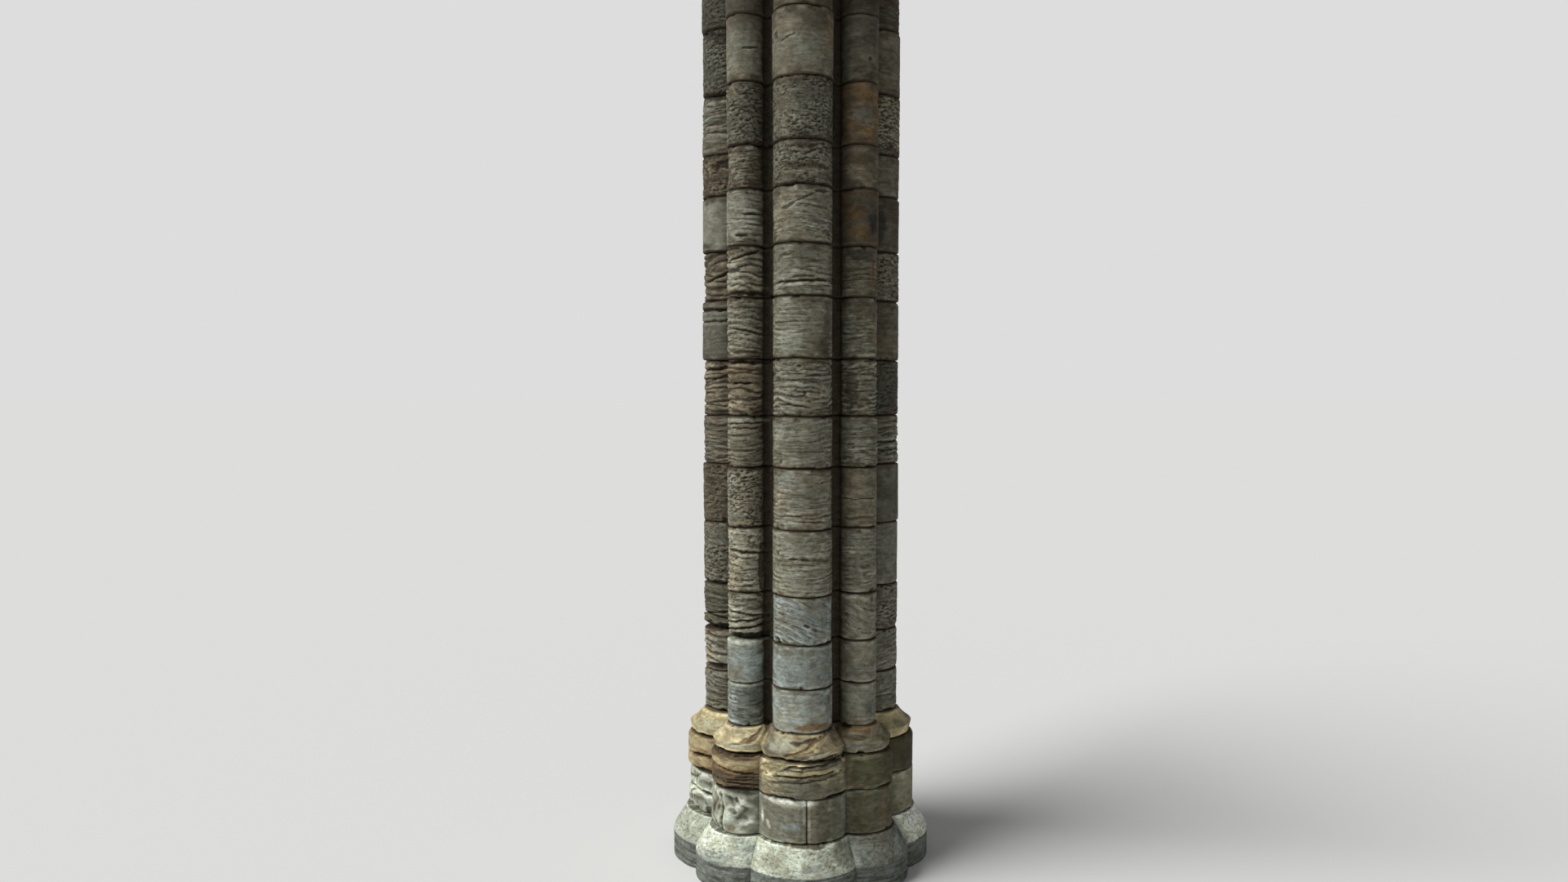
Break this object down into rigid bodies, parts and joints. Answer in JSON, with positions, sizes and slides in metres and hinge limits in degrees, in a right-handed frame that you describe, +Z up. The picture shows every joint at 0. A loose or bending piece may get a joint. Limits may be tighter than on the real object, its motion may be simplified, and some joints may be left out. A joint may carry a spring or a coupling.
{
  "type": "clustered pillar",
  "caption": "Clustered stone pier of engaged shafts in weathered courses, on a moulded and stepped base, cut flat at the top.",
  "frame": {"origin": "the pier's axis at ground level, under the footing", "axes": "+Z up the pier, -Y towards the main shaft that the picture shows in front, +X to the right of it"},
  "size_m": [1.576, 1.576, 5.3061],
  "materials": {
    "footing_stone": "rough, lichened on its slope",
    "plinth_stone": "rough, bedded and eroded",
    "moulding_stone": "rough, worn",
    "shaft_stone": "rough, weathered and stained"
  },
  "bodies": {
    "root": {"footing": "footing_stone", "plinth_course_lower": "plinth_stone", "plinth_course_upper": "plinth_stone", "base_moulding": "moulding_stone", "shaft_course_01": "shaft_stone", "shaft_course_02": "shaft_stone", "shaft_course_03": "shaft_stone", "shaft_course_04": "shaft_stone", "shaft_course_05": "shaft_stone", "shaft_course_06": "shaft_stone", "shaft_course_07": "shaft_stone", "shaft_course_08": "shaft_stone", "shaft_course_09": "shaft_stone", "shaft_course_10": "shaft_stone", "shaft_course_11": "shaft_stone", "shaft_course_12": "shaft_stone", "shaft_course_13": "shaft_stone", "shaft_course_14": "shaft_stone"}
  },
  "joints": []
}
